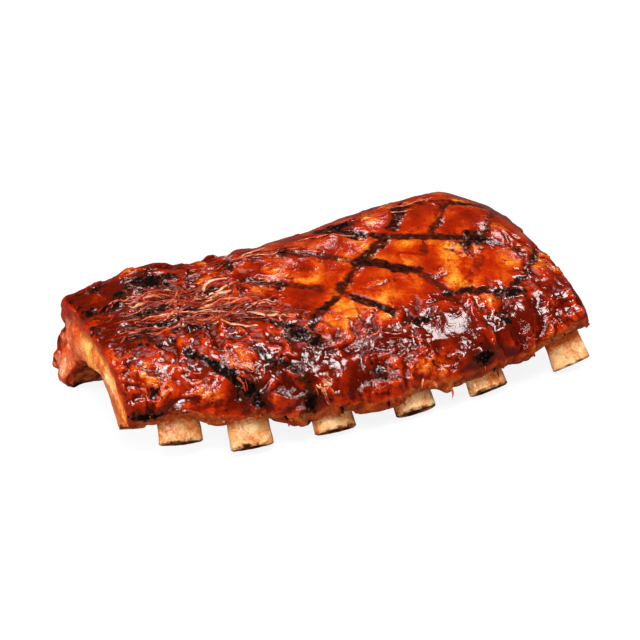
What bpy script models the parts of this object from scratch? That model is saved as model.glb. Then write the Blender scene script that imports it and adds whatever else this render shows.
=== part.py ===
"""Half rack of grilled pork ribs, meat side up: one slab of meat and the seven rib bones that run through it.

Metres, +Z up, +X along the rack, -Y towards the bared bone ends. The origin is on the table, under the middle of
the rack's box. The slab is an arch that stands on its thick back edge and on the bone ends in front.
The shapes are laid out from a butcher's line, near the middle of the rack, that RACK_OFFSET carries to the origin.
"""
import math

import bmesh
import bpy
import numpy as np
from mathutils import Vector

MM = 0.001

# Driving dimensions: the two ends of the meat along X, and the seven ribs.
RACK_OFFSET = (-2.62 * MM, -5.5 * MM, 0.0)
MEAT_LEFT = -96.5 * MM
MEAT_RIGHT = 98.0 * MM
RIB_COUNT = 7
FIRST_RIB_X = -93.0 * MM         # the front end of the rib that the left cut lays bare
RIB_PITCH = 19.8 * MM            # between the first two front ends
RIB_FAN = 1.25                   # a rib's distance from the first grows with this power of its number
BACK_SHARE = 0.85                # a rib's X at the back edge, as a share of its X in front
BONE_WIDTH = 17.0 * MM
BONE_THICKNESS = 7.6 * MM
BONE_WAIST = 0.12                # how much narrower a rib is halfway than at its ends
BONE_GAP = 0.3 * MM              # between a bone and the meat round it
TIP_REST = 2.7 * MM              # the middle of a sawn end over the table that its lower edge rests on
CUT_RIB_LENGTH = 0.95            # the first rib is sawn off flush with the meat, short of its full path
CUT_RIB_PROUD = 0.6 * MM         # how far its sawn side stands out of the left cut

# Rows of control points along the rack, in millimetres: Y and Z at the left end, in the middle and at the right
# end. The skin's rows run from the back foot over the top to the front lip, the underside's rows face them from
# inside the arch, and the bones' rows run from the back end of a rib to its bared tip.
SKIN = {
    "foot":     ((54.0, 51.5, 51.0), (-1.5, -1.5, -1.5)),
    "wall":     ((47.0, 56.0, 58.0), (16.0, 19.0, 22.0)),
    "shoulder": ((45.0, 51.5, 55.5), (36.5, 40.5, 46.0)),
    "crest":    ((39.0, 37.0, 40.0), (43.5, 46.0, 52.0)),
    "saddle":   ((10.0, 6.0, 6.0), (42.0, 45.5, 46.5)),
    "brow":     ((-11.0, -20.0, -19.0), (42.0, 41.0, 38.5)),
    "slope":    ((-24.0, -38.0, -32.5), (37.0, 30.5, 34.0)),
    "nose":     ((-31.0, -48.5, -40.0), (22.5, 17.5, 24.5)),
    "lip":      ((-28.0, -44.5, -36.5), (15.5, 11.0, 18.5)),
}
UNDERSIDE = {
    "foot":     ((32.0, 31.0, 31.0), (-1.5, -1.5, -1.5)),
    "wall":     ((31.0, 30.5, 31.5), (6.0, 8.0, 10.0)),
    "shoulder": ((27.5, 26.5, 28.0), (13.0, 17.5, 21.5)),
    "crest":    ((18.5, 18.0, 18.5), (20.0, 23.5, 27.5)),
    "saddle":   ((6.0, 3.0, 3.0), (24.5, 26.2, 27.5)),
    "brow":     ((-3.0, -10.0, -9.0), (24.5, 24.5, 22.5)),
    "slope":    ((-10.0, -19.5, -16.0), (19.0, 18.0, 17.0)),
    "nose":     ((-15.5, -25.0, -22.0), (14.5, 12.5, 12.0)),
    "lip":      ((-20.0, -27.5, -26.0), (11.5, 9.0, 9.5)),
}
BONE = {
    "back end": ((50.0, 54.0, 54.0), (3.5, 3.5, 4.0)),
    "foot":     ((44.0, 47.0, 48.0), (12.0, 12.0, 14.0)),
    "wall":     ((37.0, 39.0, 41.0), (20.0, 21.0, 25.0)),
    "crest":    ((26.0, 27.0, 28.0), (26.0, 28.5, 33.0)),
    "saddle":   ((8.0, 8.0, 8.0), (30.0, 32.0, 33.5)),
    "brow":     ((-5.0, -12.0, -11.0), (29.5, 29.5, 27.5)),
    "slope":    ((-13.5, -25.0, -21.0), (24.0, 21.5, 20.5)),
    "nose":     ((-20.0, -33.0, -30.0), (17.5, 12.0, 11.5)),
    "tip":      ((-25.5, -41.5, -35.0), (11.5, -1.0, 3.0)),
}

LEFT_CUT_SLANT = 4.0 * MM        # how far the cut's front stands in from its back
RIGHT_ROLL_LENGTH = 30.0 * MM    # over this length the top rolls down to the right end
RIGHT_ROLL_DROP = 14.0 * MM
ROLL_SHARE = (0.2, 0.3, 0.9, 1.0, 0.75, 0.3, 0.15, 0.0, 0.0)   # of that drop, row by row of the skin
RIDGE_WIDTH = 9.0 * MM           # a rib's ridge on the underside, and the scallop round it in the front edge
RIDGE_HEIGHT = 2.0 * MM
SCALLOP_DEPTH = 2.5 * MM

CAGE_COLUMNS = 26
CAGE_ROWS = 12
EDGE_CROWDING = 0.35             # how far the cage's lines crowd towards its edges, which keeps these crisp
BONE_SIDES = 12
BONE_RINGS = 11
CUTTER_OVERSHOOT = 5.0 * MM
ROUND_LEVELS = 1


def clear_scene():
    """Empty the scene, without closing the file."""
    for old in list(bpy.data.objects):
        bpy.data.objects.remove(old, do_unlink=True)


def new_collection(name):
    collection = bpy.data.collections.new(name)
    bpy.context.scene.collection.children.link(collection)
    return collection


def make_material(name, colour, roughness):
    """A Principled material of one colour."""
    material = bpy.data.materials.new(name)
    material.use_nodes = True
    shader = material.node_tree.nodes["Principled BSDF"]
    shader.inputs["Base Color"].default_value = (*colour, 1.0)
    shader.inputs["Roughness"].default_value = roughness
    shader.inputs["Metallic"].default_value = 0.0
    return material


def along_rack(places, e):
    """The parabola through three places: left end at e = -1, middle at 0, right end at 1."""
    left, middle, right = places
    return middle + (right - left) / 2 * e + ((right + left) / 2 - middle) * e * e


def spline(points, s):
    """A uniform cubic B-spline that starts and ends on the first and last point, for an array s from 0 to 1."""
    padded = np.concatenate([[2 * points[0] - points[1]], points, [2 * points[-1] - points[-2]]])
    place = np.clip(s, 0.0, 1.0) * (len(points) - 1)
    first = np.minimum(place.astype(int), len(points) - 2)
    f = (place - first)[:, None]
    weights = ((1 - f) ** 3, 3 * f**3 - 6 * f**2 + 4, -3 * f**3 + 3 * f**2 + 3 * f + 1, f**3)
    return sum(weight * padded[first + k] for k, weight in enumerate(weights)) / 6


def rib_x(rib, s):
    """X of rib number 0 to 6 at s, from 0 at its back end to 1 at its tip."""
    front = FIRST_RIB_X + RIB_PITCH * rib**RIB_FAN
    return front * (BACK_SHARE + (1 - BACK_SHARE) * s)


def left_cut_x(s):
    """X of the left cut, which slants in towards the front: s from 0 at the back to 1 in front."""
    return MEAT_LEFT + LEFT_CUT_SLANT * s


def ridge(x, s):
    """1 over a rib and 0 between ribs."""
    return sum(math.exp(-(((x - rib_x(rib, s)) / RIDGE_WIDTH) ** 2)) for rib in range(RIB_COUNT))


def rows_at(rows, e):
    """The control points of one cross-section, in metres, as an array of X, Y and Z."""
    points = []
    for number, (y_places, z_places) in enumerate(rows.values()):
        left = left_cut_x(number / (len(rows) - 1))
        x = left + (MEAT_RIGHT - left) * (e + 1) / 2
        points.append((x, along_rack(y_places, e) * MM, along_rack(z_places, e) * MM))
    return np.array(points)


def skin_point(e, s):
    """A point of the glazed outer skin: e from -1 to 1 along the rack, s from 0 at the foot to 1 at the lip."""
    points = rows_at(SKIN, e)
    roll = np.clip((points[:, 0] - MEAT_RIGHT + RIGHT_ROLL_LENGTH) / RIGHT_ROLL_LENGTH, 0.0, 1.0)
    points[:, 2] -= RIGHT_ROLL_DROP * roll**2 * np.array(ROLL_SHARE)
    point = spline(points, np.array([s]))[0]
    hang = SCALLOP_DEPTH * (1 - min(1.0, ridge(point[0], s))) * max(0.0, s - 0.75) * 4
    return Vector((point[0], point[1] - 0.4 * hang, point[2] - hang))


def underside_point(e, s):
    """A point of the arch's inner face, with a ridge under every rib."""
    point = spline(rows_at(UNDERSIDE, e), np.array([s]))[0]
    lift = RIDGE_HEIGHT * (1 - min(1.0, ridge(point[0], s))) * math.sin(math.pi * s)
    return Vector((point[0], point[1], point[2] + lift))


def bone_path(rib, s):
    """The centre line of a rib: a B-spline through the bone rows, at the rib's own X, for an array s."""
    x = rib_x(rib, s)
    centre = (MEAT_LEFT + MEAT_RIGHT) / 2
    e = (x - centre) / (MEAT_RIGHT - centre)
    places = []
    for x_here, e_here, s_here in zip(x, e, s):
        points = rows_at(BONE, e_here)
        points[-1, 2] = max(points[-1, 2], TIP_REST)
        places.append((x_here, *spline(points, np.array([s_here]))[0, 1:]))
    return np.array(places)


def crowd(u):
    """Move u, from -1 to 1, towards the nearer end."""
    return (1 - EDGE_CROWDING) * u + EDGE_CROWDING * math.sin(math.pi / 2 * u)


def add_sheet(bm, surface):
    """A grid laid on a surface function."""
    grid = bmesh.ops.create_grid(bm, x_segments=CAGE_COLUMNS, y_segments=CAGE_ROWS, size=1.0)
    for vertex in grid["verts"]:
        vertex.co = surface(crowd(vertex.co.x), (1 - crowd(vertex.co.y)) / 2)


def add_object(name, bm, collection, material=None):
    mesh = bpy.data.meshes.new(name)
    bm.to_mesh(mesh)
    bm.free()
    mesh.shade_smooth()
    part = bpy.data.objects.new(name, mesh)
    collection.objects.link(part)
    if material:
        mesh.materials.append(material)
    return part


def mark_cutter(cutter):
    cutter.hide_render = True
    cutter.display_type = "WIRE"
    return cutter


def cut(part, cutter):
    """Take the cutter's space out of the part."""
    modifier = part.modifiers.new(f"cut {cutter.name}", "BOOLEAN")
    modifier.operation = "DIFFERENCE"
    modifier.object = cutter


def make_meat(collection, material):
    """The slab: skin and underside, two sheets joined all round their edges, then rounded."""
    bm = bmesh.new()
    add_sheet(bm, skin_point)
    add_sheet(bm, underside_point)
    bmesh.ops.bridge_loops(bm, edges=[edge for edge in bm.edges if edge.is_boundary])
    bmesh.ops.recalc_face_normals(bm, faces=bm.faces)
    meat = add_object("meat", bm, collection, material)
    rounding = meat.modifiers.new("rounding", "SUBSURF")
    rounding.levels = ROUND_LEVELS
    rounding.render_levels = ROUND_LEVELS
    return meat


def make_bone(name, rib, collection, material=None, grow=0.0, overshoot=0.0):
    """A rib: a cylinder primitive bent along its path, its round section pressed to a flat oval.

    A rib stops at the table, and the first one is sawn lengthwise by the left cut. The cutter of a rib's tunnel
    does neither: grow widens it all round, and overshoot carries it past the rib's ends, side and foot.
    """
    bm = bmesh.new()
    bmesh.ops.create_cone(bm, cap_ends=True, segments=BONE_SIDES, radius1=1.0, radius2=1.0, depth=1.0)
    lengthwise = [edge for edge in bm.edges if abs(edge.verts[0].co.z - edge.verts[1].co.z) > 0.5]
    bmesh.ops.subdivide_edges(bm, edges=lengthwise, cuts=BONE_RINGS - 2)
    bm.verts.ensure_lookup_table()

    last = CUT_RIB_LENGTH if rib == 0 else 1.0
    shares = np.array([(vertex.co.z + 0.5) for vertex in bm.verts])
    s = shares * last
    step = 0.01
    places = bone_path(rib, s)
    ahead = bone_path(rib, np.minimum(s + step, 1.0))
    behind = bone_path(rib, np.maximum(s - step, 0.0))
    for vertex, share, place, tangent in zip(bm.verts, shares, places, ahead - behind):
        along = Vector(tangent).normalized()
        across = (Vector((1.0, 0.0, 0.0)) - along * along.x).normalized()
        up = along.cross(across)
        half_width = BONE_WIDTH / 2 * (1 - BONE_WAIST * math.sin(math.pi * share)) + grow
        half_thickness = BONE_THICKNESS / 2 + grow
        end = -1 if share < 0.01 else (1 if share > 0.99 else 0)
        vertex.co = (Vector(place) + across * vertex.co.x * half_width + up * vertex.co.y * half_thickness
                     + along * end * overshoot)
        vertex.co.x = max(vertex.co.x, left_cut_x(share) - CUT_RIB_PROUD - overshoot)
        vertex.co.z = max(vertex.co.z, -overshoot)
    return add_object(name, bm, collection, material)


def make_table_cutter(collection):
    """A block under the table plane, which levels the foot of the meat."""
    bpy.ops.mesh.primitive_cube_add(size=0.4, location=(0.0, 0.0, -0.2))
    block = bpy.context.active_object
    block.name = "table_block"
    for owner in list(block.users_collection):
        owner.objects.unlink(block)
    collection.objects.link(block)
    return mark_cutter(block)


clear_scene()
rack = new_collection("rack_of_ribs")
cutters = new_collection("cutters")
butchers_line = bpy.data.objects.new("butchers_line", None)
butchers_line.location = RACK_OFFSET
rack.objects.link(butchers_line)
meat_material = make_material("glazed_meat", (0.30, 0.045, 0.010), 0.3)
bone_material = make_material("rib_bone", (0.62, 0.42, 0.20), 0.55)

meat = make_meat(rack, meat_material)
cut(meat, make_table_cutter(cutters))
for rib in range(RIB_COUNT):
    make_bone(f"rib_bone_{rib + 1}", rib, rack, bone_material)
    tunnel = make_bone(f"tunnel_{rib + 1}", rib, cutters, grow=BONE_GAP, overshoot=CUTTER_OVERSHOOT)
    cut(meat, mark_cutter(tunnel))

for shape in [*rack.objects, *cutters.objects]:
    if shape is not butchers_line:
        shape.parent = butchers_line
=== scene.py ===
"""Half a rack of grilled pork back ribs under a sticky glaze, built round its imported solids.

Lengths are in millimetres until a mesh is made, with +X along the rack and -Y towards the sawn
rib ends. On the glazed skin a place is given by X and by the way across: the arc length in mm from
the foot of the back wall, over the top (about 45 to 115) and down the front slope to the lip (155).
"""

import bpy
import numpy as np
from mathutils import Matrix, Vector


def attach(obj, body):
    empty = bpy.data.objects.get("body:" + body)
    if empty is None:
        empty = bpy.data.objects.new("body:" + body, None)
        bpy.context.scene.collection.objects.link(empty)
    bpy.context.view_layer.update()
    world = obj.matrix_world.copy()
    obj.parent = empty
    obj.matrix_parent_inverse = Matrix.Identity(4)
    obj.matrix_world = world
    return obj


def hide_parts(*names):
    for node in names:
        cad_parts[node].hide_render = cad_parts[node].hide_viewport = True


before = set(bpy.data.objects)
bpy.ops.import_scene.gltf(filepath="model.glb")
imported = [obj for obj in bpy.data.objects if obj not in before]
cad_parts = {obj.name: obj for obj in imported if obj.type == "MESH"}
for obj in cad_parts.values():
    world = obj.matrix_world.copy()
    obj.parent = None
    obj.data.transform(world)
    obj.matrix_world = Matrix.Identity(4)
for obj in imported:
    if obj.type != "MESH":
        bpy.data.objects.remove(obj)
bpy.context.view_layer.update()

# ----------------------------------------------------------------------------
# The slab of meat: one thick arch, roasted and then grilled over bars that left two crossing rows
# of burnt lines. Its skin is lacquered with sauce in many coats, thick in the hollows and folds and
# thin on the high places; the extra sauce in the hollows is partly painted shade. Both ends are cut
# faces, and the inside of the arch is bare membrane over the ribs.
# ----------------------------------------------------------------------------
MM = 0.001
RACK_OFFSET = np.array([-2.62, -5.5, 0.0])      # from the butcher's line to the origin under the middle
MEAT_LEFT = -96.5
MEAT_RIGHT = 98.0
LEFT_CUT_SLANT = 4.0
ROLL_LENGTH = 30.0
ROLL_DROP = 14.0
ROLL_SHARE = np.array([0.2, 0.3, 0.9, 1.0, 0.75, 0.3, 0.15, 0.0, 0.0])
RIDGE_WIDTH = 9.0
RIDGE_HEIGHT = 2.0
SCALLOP_DEPTH = 2.5
# Where the lip bares or hides a rib: X and height.
LIP_LIFTS = ((-74.0, 6.5), (-46.0, 2.0), (-28.0, -2.6), (52.0, -2.0), (82.0, 3.0))
LIP_LIFT_WIDTH = 11.0
RIB_COUNT = 7
FIRST_RIB_X = -93.0
RIB_PITCH = 19.8
RIB_FAN = 1.25
BACK_SHARE = 0.85
# Rows from the back foot over the crest to the lip: Y and Z at the left end, in the middle, at the
# right end.
SKIN = (
    ((54, 51.5, 51), (-1.5, -1.5, -1.5)),
    ((47, 56, 58), (16, 19, 22)),
    ((45, 51.5, 55.5), (36.5, 40.5, 46)),
    ((39, 37, 40), (43.5, 46, 52)),
    ((10, 6, 6), (42, 45.5, 46.5)),
    ((-11, -20, -19), (42, 41, 38.5)),
    ((-24, -38, -32.5), (37, 30.5, 34)),
    ((-31, -48.5, -40), (22.5, 17.5, 24.5)),
    ((-28, -44.5, -36.5), (15.5, 11, 18.5)),
)
UNDERSIDE = (
    ((32, 31, 31), (-1.5, -1.5, -1.5)),
    ((31, 30.5, 31.5), (6, 8, 10)),
    ((27.5, 26.5, 28), (13, 17.5, 21.5)),
    ((18.5, 18, 18.5), (20, 23.5, 27.5)),
    ((6, 3, 3), (24.5, 26.2, 27.5)),
    ((-3, -10, -9), (24.5, 24.5, 22.5)),
    ((-10, -19.5, -16), (19, 18, 17)),
    ((-15.5, -25, -22), (14.5, 12.5, 12)),
    ((-20, -27.5, -26), (11.5, 9, 9.5)),
)
MEAT_COLUMNS = 286
BACK_ROWS = 42                  # skin rows on the back wall
TOP_ROWS = 184                  # and over the top and front, where they are closer together
BACK_WALL_ARC = 46.0
RIM_ROWS = 19                   # rows inside the lip and the foot, and columns inside the cut faces
UNDER_ROWS = 40
ROUNDING_ROUNDS = 26
LEFT_SAG = 3.5
LEFT_STEP_IN = 3.2
LEFT_SWELL = 1.8
CREST_DIP = 2.6
SHOULDER_SWELL = 1.6
RIB_GROOVE = 1.2
# Heights of the skin's patterns, in mm.
SCALLOP_HOLLOW = 0.7
FOLD_RELIEF = 0.45
WRINKLE_RELIEF = 0.15
PLEAT_RELIEF = 0.45
FIBRE_RELIEF = 0.8
BEAD_RELIEF = 0.25
MARK_DEPTH = 0.35
CHAR_RELIEF = 0.6
MEMBRANE_RELIEF = 0.35
CUT_RELIEF = 0.7

# The grill's burnt lines on the skin, each through its own points, with its half width and how hard
# it burnt.
GRILL_LINES = (
    (((11, 54), (17, 62), (24, 70)), 2.7, 1),
    (((24, 70), (35, 76.5), (50, 82.5), (64, 88.5)), 1.7, 0.9),
    (((64, 89), (72, 93), (81, 99)), 1.7, 0.65),
    (((-18, 61), (-10, 67), (-3, 73), (5, 79), (14, 86)), 1.8, 0.75),
    (((14, 87), (22, 91), (28, 97), (34, 100)), 2.3, 1),
    (((34, 101), (38, 108), (42, 115)), 1.9, 0.65),
    (((40, 114), (50, 115.5), (60, 118.5), (67, 121)), 1.6, 0.9),
    (((-31, 82), (-25, 88), (-19, 92)), 2.2, 0.9),
    (((-19, 92), (-10, 96.5), (-3, 101), (4, 107)), 1.5, 0.7),
    (((4, 107), (9, 112), (14, 118)), 1.9, 0.95),
    (((-50, 93), (-42, 98), (-35, 105), (-31, 110)), 1.8, 0.7),
    (((-31, 111), (-25, 117), (-19, 124)), 2.2, 1),
    (((46, 58), (58, 57.5), (68, 62), (82, 66)), 1.8, 0.85),
    (((49, 57), (44, 62), (38, 70)), 2.5, 0.95), (((30, 77), (22, 82), (14, 89)), 2, 0.95),
    (((14, 89), (8, 94), (0, 101), (-4, 105)), 1.8, 0.85),
    (((-4, 105), (-12, 111), (-18, 117)), 1.6, 0.9), (((65, 63), (58, 72), (51, 80)), 1.5, 0.85),
    (((46, 82), (41, 91)), 1.5, 0.6), (((86, 69), (78, 77), (72, 85), (68, 91)), 1.5, 0.6),
    (((62, 100), (55, 107), (46, 113), (41, 118)), 1.8, 0.5),
    (((90, 96), (81, 108), (72, 116), (64, 122)), 1.4, 0.9),
    (((-67, 122), (-61, 128), (-56, 134), (-50, 141), (-47, 147)), 1.9, 1),
    (((-43, 123), (-39, 129), (-33, 132), (-28, 139), (-29, 148)), 1.7, 0.7),
    (((-49, 116), (-46, 108), (-36, 104)), 1.7, 0.65),
    (((-90, 106), (-78, 109), (-72, 114)), 1.8, 0.6),
)
# Folds of the skin: points of the ridge, its height and its half width.
FOLDS = (
    (((46, 121), (47.5, 134), (50, 145), (54, 154)), 1.9, 1.5),
    (((50, 122), (51, 135), (54, 149)), -1.1, 1.6), (((41, 121), (42, 133), (38, 145)), 0.9, 3.4),
    (((34, 124), (37, 136), (36, 146)), 0.9, 2), (((30, 133), (36, 143)), 0.8, 1.4),
    (((43, 139), (40, 150)), 1, 1.8), (((53, 120), (56, 138)), 1.2, 2.3),
    (((57, 135), (59, 148)), 1.1, 1.7), (((61, 134), (67, 149)), 1, 1.3),
    (((64, 127), (70, 141)), 1, 3.2), (((60, 120), (61, 136)), -0.9, 1.6),
    (((76, 118), (79, 131)), 0.8, 2), (((83, 111), (88, 131)), 1.3, 3.2),
    (((88, 128), (92, 146)), 1.1, 1.8), (((80, 134), (77, 148)), 0.9, 2),
    (((73, 130), (74, 148)), -0.9, 1.8), (((85, 132), (84, 147)), -0.8, 1.5),
    (((9, 134), (6, 146)), 1, 1.4), (((13, 136), (12, 148)), 0.8, 1.3),
    (((17, 138), (20, 151)), 1.1, 1.4), (((0, 126), (10, 128), (19, 126)), 0.9, 1.1),
    (((14, 122), (20, 132)), 0.8, 1.3), (((21, 131), (31, 134)), 0.8, 1.2),
    (((-28, 130), (-23, 141), (-17, 155)), 1.6, 1.7), (((-13, 135), (-4, 134)), 1, 2.4),
    (((-35, 126), (-31, 132), (-29, 141)), 1.3, 1.8),
    (((-47, 124), (-42, 131), (-45, 138)), 0.9, 2), (((-56, 124), (-50, 138)), 0.8, 1.5),
    (((-98, 125), (-89, 130)), 1, 1.8), (((-88, 128), (-82, 138), (-84, 147)), 0.9, 1.8),
    (((-96, 133), (-93, 148)), 0.4, 1.8), (((-18, 123), (-12, 130), (-14, 139)), 0.9, 1.5),
)
SAUCE_DEPTH = 0.3                # hollows deeper than this under the level round them are full of sauce
# Places on the skin: X, across, half length along X, half length across, strength. Pools of sauce
# first, then burnt spots, crinkled skin, thin sauce and torn meat.
POOLS = (
    (-79, 71.5, 12, 9, 1), (36, 131, 15, 9, 0.9), (64, 134, 8, 7, 0.8), (-13, 137, 8, 6, 0.9),
    (-23, 132, 4.5, 8, 0.8), (84, 122, 7, 10, 0.6), (8, 131, 6, 5, 0.5), (66, 134, 5, 6, 0.7),
    (85, 121, 5, 9, 0.8),
)
BURNT_SPOTS = (
    (-66, 67, 5.5, 6.5, 1), (-93, 77, 2.5, 5, 0.6), (-84, 107, 4, 2.2, 0.65), (-84, 114, 3, 2, 0.5),
    (-38, 131, 4.5, 2.2, 0.55), (-50, 141, 3.2, 4, 1), (-28.5, 147, 3.2, 3, 0.9),
    (-24, 119.5, 4, 2.4, 0.7), (1, 141, 2.6, 2.6, 0.65), (44, 146, 5, 3, 0.8),
    (66, 122, 4.5, 2.4, 0.8), (57, 134, 2.5, 3, 0.6), (24, 124, 7, 1.6, 0.7), (65, 90.5, 6, 3, 0.9),
    (-10, 67.5, 4, 2.6, 0.65), (19, 57.5, 7, 2.8, 0.75), (-75, 91, 6, 1.4, 0.8),
    (-70, 101, 5, 1.4, 0.9), (-49, 84.5, 4, 1.8, 0.8), (-57, 66, 3.5, 3, 0.6),
    (-72, 112, 5, 1.8, 0.5), (-88, 60, 6, 2.4, 0.65), (-34, 68, 2.5, 3.5, 0.55),
    (-95, 92, 2, 3, 0.5), (-88, 151, 6, 2.2, 0.8), (-62, 108, 7, 2, 0.6), (-85, 81, 6, 3.6, 0.75),
    (-79, 73, 4, 3, 0.6),
)
CRINKLE_SPOTS = (
    (-51, 130, 6, 6, 1), (-38, 146, 9, 6, 1), (-33, 136, 6, 5, 0.7), (-15, 122, 5, 5, 0.8),
    (-2, 125, 8, 5, 0.7), (-5, 145, 8, 6, 0.9), (23, 144, 9, 7, 1), (8, 140, 8, 8, 0.7),
    (64, 143, 4, 6, 0.9), (58, 93, 7, 6, 0.7), (-84, 135, 5, 8, 0.8), (-25, 118, 6, 6, 0.6),
    (93, 105, 5, 12, 0.7), (76, 145, 8, 5, 0.5), (20, 102, 10, 2, 0.3), (78, 106, 8, 4, 0.4),
    (40, 105, 4, 4, 0.3), (-66, 142, 8, 6, 0.5),
)
THIN_SPOTS = (
    (-30, 92, 6.5, 4.5, 1), (-5, 91, 8, 4, 0.8), (-77.5, 123, 6, 4, 0.55), (-7, 117, 10, 5, 0.95),
    (52, 92, 7, 5, 0.9), (57, 123.5, 7, 4, 0.95), (22, 143, 9, 6, 1), (73, 123, 4, 5, 0.6),
    (-19, 84, 6, 3.5, 0.8), (-50, 126, 6, 4.5, 0.95), (-76, 135, 8, 4, 0.5), (-67, 115, 6, 3, 0.5),
    (-90, 127, 6, 12, 0.3), (88, 80, 6, 14, 0.5), (55, 65, 12, 8, 0.3), (60, 107, 12, 7, 0.3),
    (16, 99, 10, 6, 0.25), (-38, 115, 7, 5, 0.4), (-20, 140, 4, 6, 0.4),
)
STRAND_SPOTS = (
    (-60, 85, 24, 6, 1), (-72, 99, 20, 7, 0.9), (-45, 101, 14, 5, 0.9), (-58, 74, 7, 8, 0.7),
    (-30, 66, 14, 4, 0.5), (-88, 96, 12, 12, 0.75),
)


def along_rack(places, e):
    """The parabola through three values: left end at e = -1, middle at 0, right end at 1."""
    left, middle, right = places
    return middle + (right - left) / 2 * e + ((right + left) / 2 - middle) * e * e


def rows_at(rows, e):
    """Control points of the cross-sections at every e: rows by sections by X, Y and Z."""
    points = []
    for number, (y_places, z_places) in enumerate(rows):
        left = MEAT_LEFT + LEFT_CUT_SLANT * number / (len(rows) - 1)
        x = left + (MEAT_RIGHT - left) * (e + 1) / 2
        points.append(np.stack([x, along_rack(y_places, e), along_rack(z_places, e)], axis=-1))
    return np.array(points)


def spline(rows, s):
    """A uniform cubic B-spline down the rows, from the first to the last: s by sections by X, Y and Z."""
    padded = np.concatenate([[2 * rows[0] - rows[1]], rows, [2 * rows[-1] - rows[-2]]])
    place = np.clip(s, 0.0, 1.0) * (len(rows) - 1)
    first = np.minimum(place.astype(int), len(rows) - 2)
    f = (place - first)[:, None, None]
    weights = ((1 - f) ** 3, 3 * f**3 - 6 * f**2 + 4, -3 * f**3 + 3 * f**2 + 3 * f + 1, f**3)
    return sum(weight * padded[first + k] for k, weight in enumerate(weights)) / 6


def ramp(value, start, end):
    """0 before start, 1 after end, and a smooth S between."""
    share = np.clip((value - start) / (end - start), 0.0, 1.0)
    return share * share * (3 - 2 * share)


def bell(value, centre, half):
    """exp(-((value - centre) / half) ^ 2): 1 at the centre, about a third at half away from it."""
    return np.exp(-(((value - centre) / half) ** 2))


def rib_x(rib, s):
    """X of a rib at s, from 0 at its back end to 1 at its tip, on the butcher's line."""
    return (FIRST_RIB_X + RIB_PITCH * rib**RIB_FAN) * (BACK_SHARE + (1 - BACK_SHARE) * s)


def ridge(x, s):
    """A bell curve round each rib: 1 over a rib and 0 between ribs."""
    return np.minimum(1.0, sum(bell(x, rib_x(rib, s), RIDGE_WIDTH) for rib in range(RIB_COUNT)))


def skin_surface(e, s):
    """The skin: the spline over its rows, rolled down at the right end and scalloped between the ribs."""
    rows = rows_at(SKIN, e)
    roll = np.clip((rows[..., 0] - MEAT_RIGHT + ROLL_LENGTH) / ROLL_LENGTH, 0.0, 1.0)
    rows[..., 2] -= ROLL_DROP * roll**2 * ROLL_SHARE[:, None]
    points = spline(rows, s)
    hang = SCALLOP_DEPTH * (1 - ridge(points[..., 0], s[:, None])) * np.maximum(0.0, s[:, None] - 0.75) * 4
    points[..., 1] -= 0.4 * hang
    points[..., 2] -= hang
    for lift_x, lift in LIP_LIFTS:
        points[..., 2] += lift * bell(points[..., 0], lift_x, LIP_LIFT_WIDTH) * ramp(s, 0.8, 1.0)[:, None]
    return points + RACK_OFFSET


def underside_surface(e, s):
    """The inside of the arch: the spline over its rows, lifted between the ribs."""
    points = spline(rows_at(UNDERSIDE, e), s)
    points[..., 2] += RIDGE_HEIGHT * (1 - ridge(points[..., 0], s[:, None])) * np.sin(np.pi * s)[:, None]
    return points + RACK_OFFSET


def cell_numbers(cells, seed):
    """A scrambled number from 0 to 255 for each lattice cell: multiply, shift and exclusive-or."""
    primes = np.array([73856093, 19349663, 83492791])
    code = ((cells * primes).sum(axis=-1) + seed * 2654435761).astype(np.uint64)
    for shift, factor in ((15, 2246822519), (13, 3266489917), (16, 668265263)):
        code = (code ^ (code >> np.uint64(shift))) * np.uint64(factor)
    return ((code >> np.uint64(20)) % np.uint64(256)).astype(int)


def gradient_noise(places, size, seed):
    """Perlin's noise, about -1 to 1: a random slope at each lattice point, blended by a quintic curve.

    The size of a cell may be one length or three, which stretch the noise.
    """
    cells = places / np.asarray(size, float)
    low = np.floor(cells).astype(np.int64)
    inside = cells - low
    fade = inside**3 * (inside * (inside * 6 - 15) + 10)
    slopes = np.random.default_rng(seed).normal(size=(256, 3))
    slopes /= np.linalg.norm(slopes, axis=1, keepdims=True)
    total = np.zeros(len(places))
    for corner in np.ndindex(2, 2, 2):
        slope = slopes[cell_numbers(low + corner, seed)]
        share = np.prod(np.where(corner, fade, 1 - fade), axis=1)
        total += share * np.einsum("ij,ij->i", slope, inside - corner)
    return total * 1.7


def crease_noise(places, size, seed):
    """Gradient noise folded at zero: 1 along thin winding creases, falling to 0 on both sides."""
    return 1 - np.minimum(1.0, np.abs(gradient_noise(places, size, seed)) * 2.2)


def cell_noise(places, size, seed):
    """Worley's noise: how far each place is from the nearest of points strewn one to a cell, in cells."""
    cells = places / np.asarray(size, float)
    low = np.floor(cells).astype(np.int64)
    strewn = np.random.default_rng(seed).random((256, 3))
    nearest = np.full(len(places), 9.0)
    for step in np.ndindex(3, 3, 3):
        cell = low + step - 1
        point = cell + strewn[cell_numbers(cell, seed)]
        nearest = np.minimum(nearest, np.linalg.norm(point - cells, axis=1))
    return nearest


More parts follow.
